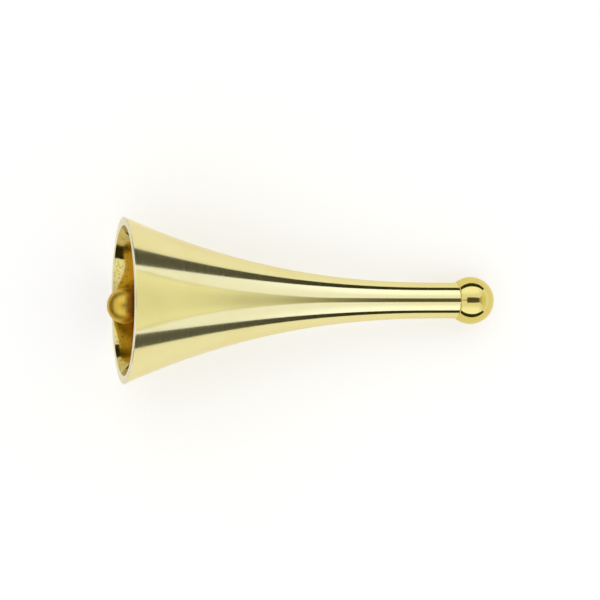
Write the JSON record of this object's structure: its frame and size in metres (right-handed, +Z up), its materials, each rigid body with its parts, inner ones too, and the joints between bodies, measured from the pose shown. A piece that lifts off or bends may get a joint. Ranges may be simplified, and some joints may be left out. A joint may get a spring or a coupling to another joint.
{
  "type": "hand bell",
  "caption": "Small turned brass hand bell, shaped like a straight horn with a flared mouth, a slim neck as its handle, a ball knob and a free-swinging ball clapper.",
  "frame": {"origin": "on the table, under the middle of the bounding box of the bell as it lies on its side", "axes": "+Z up from the table, +X along the bell from the mouth towards the knob, level with the table. The bell's own axis slopes down towards the knob by 9.1 degrees, because it lies on its rim and its knob."},
  "size_m": [0.124, 0.0512, 0.0506],
  "materials": {
    "turned_brass": "polished, with fine turning lines near the mouth",
    "polished_brass": "polished",
    "plain_brass": "satin, as turned",
    "steel": "satin",
    "leather": "matte"
  },
  "bodies": {
    "bell": {"bell_body": "turned_brass", "ball_knob": "polished_brass", "tie_rod": "steel", "crown_plug": "plain_brass", "crown_washer": "leather", "swivel_bush": "plain_brass"},
    "swivel": {"thrust_washer": "steel", "swivel_nut": "steel", "swivel_eye": "plain_brass"},
    "clapper": {"clapper_rod": "plain_brass", "clapper_ball": "polished_brass"}
  },
  "joints": [
    {"name": "clapper_swivel", "type": "hinge", "parent": "bell", "child": "swivel", "pos_m": [-0.00774, 0, 0.01753], "axis": [0.9874, 0, -0.1581], "continuous": true},
    {"name": "clapper_swing", "type": "hinge", "parent": "swivel", "child": "clapper", "pos_m": [-0.00774, 0, 0.01753], "axis": [-0.0119, 0.9972, -0.074], "range_deg": [0, 38.2]}
  ]
}
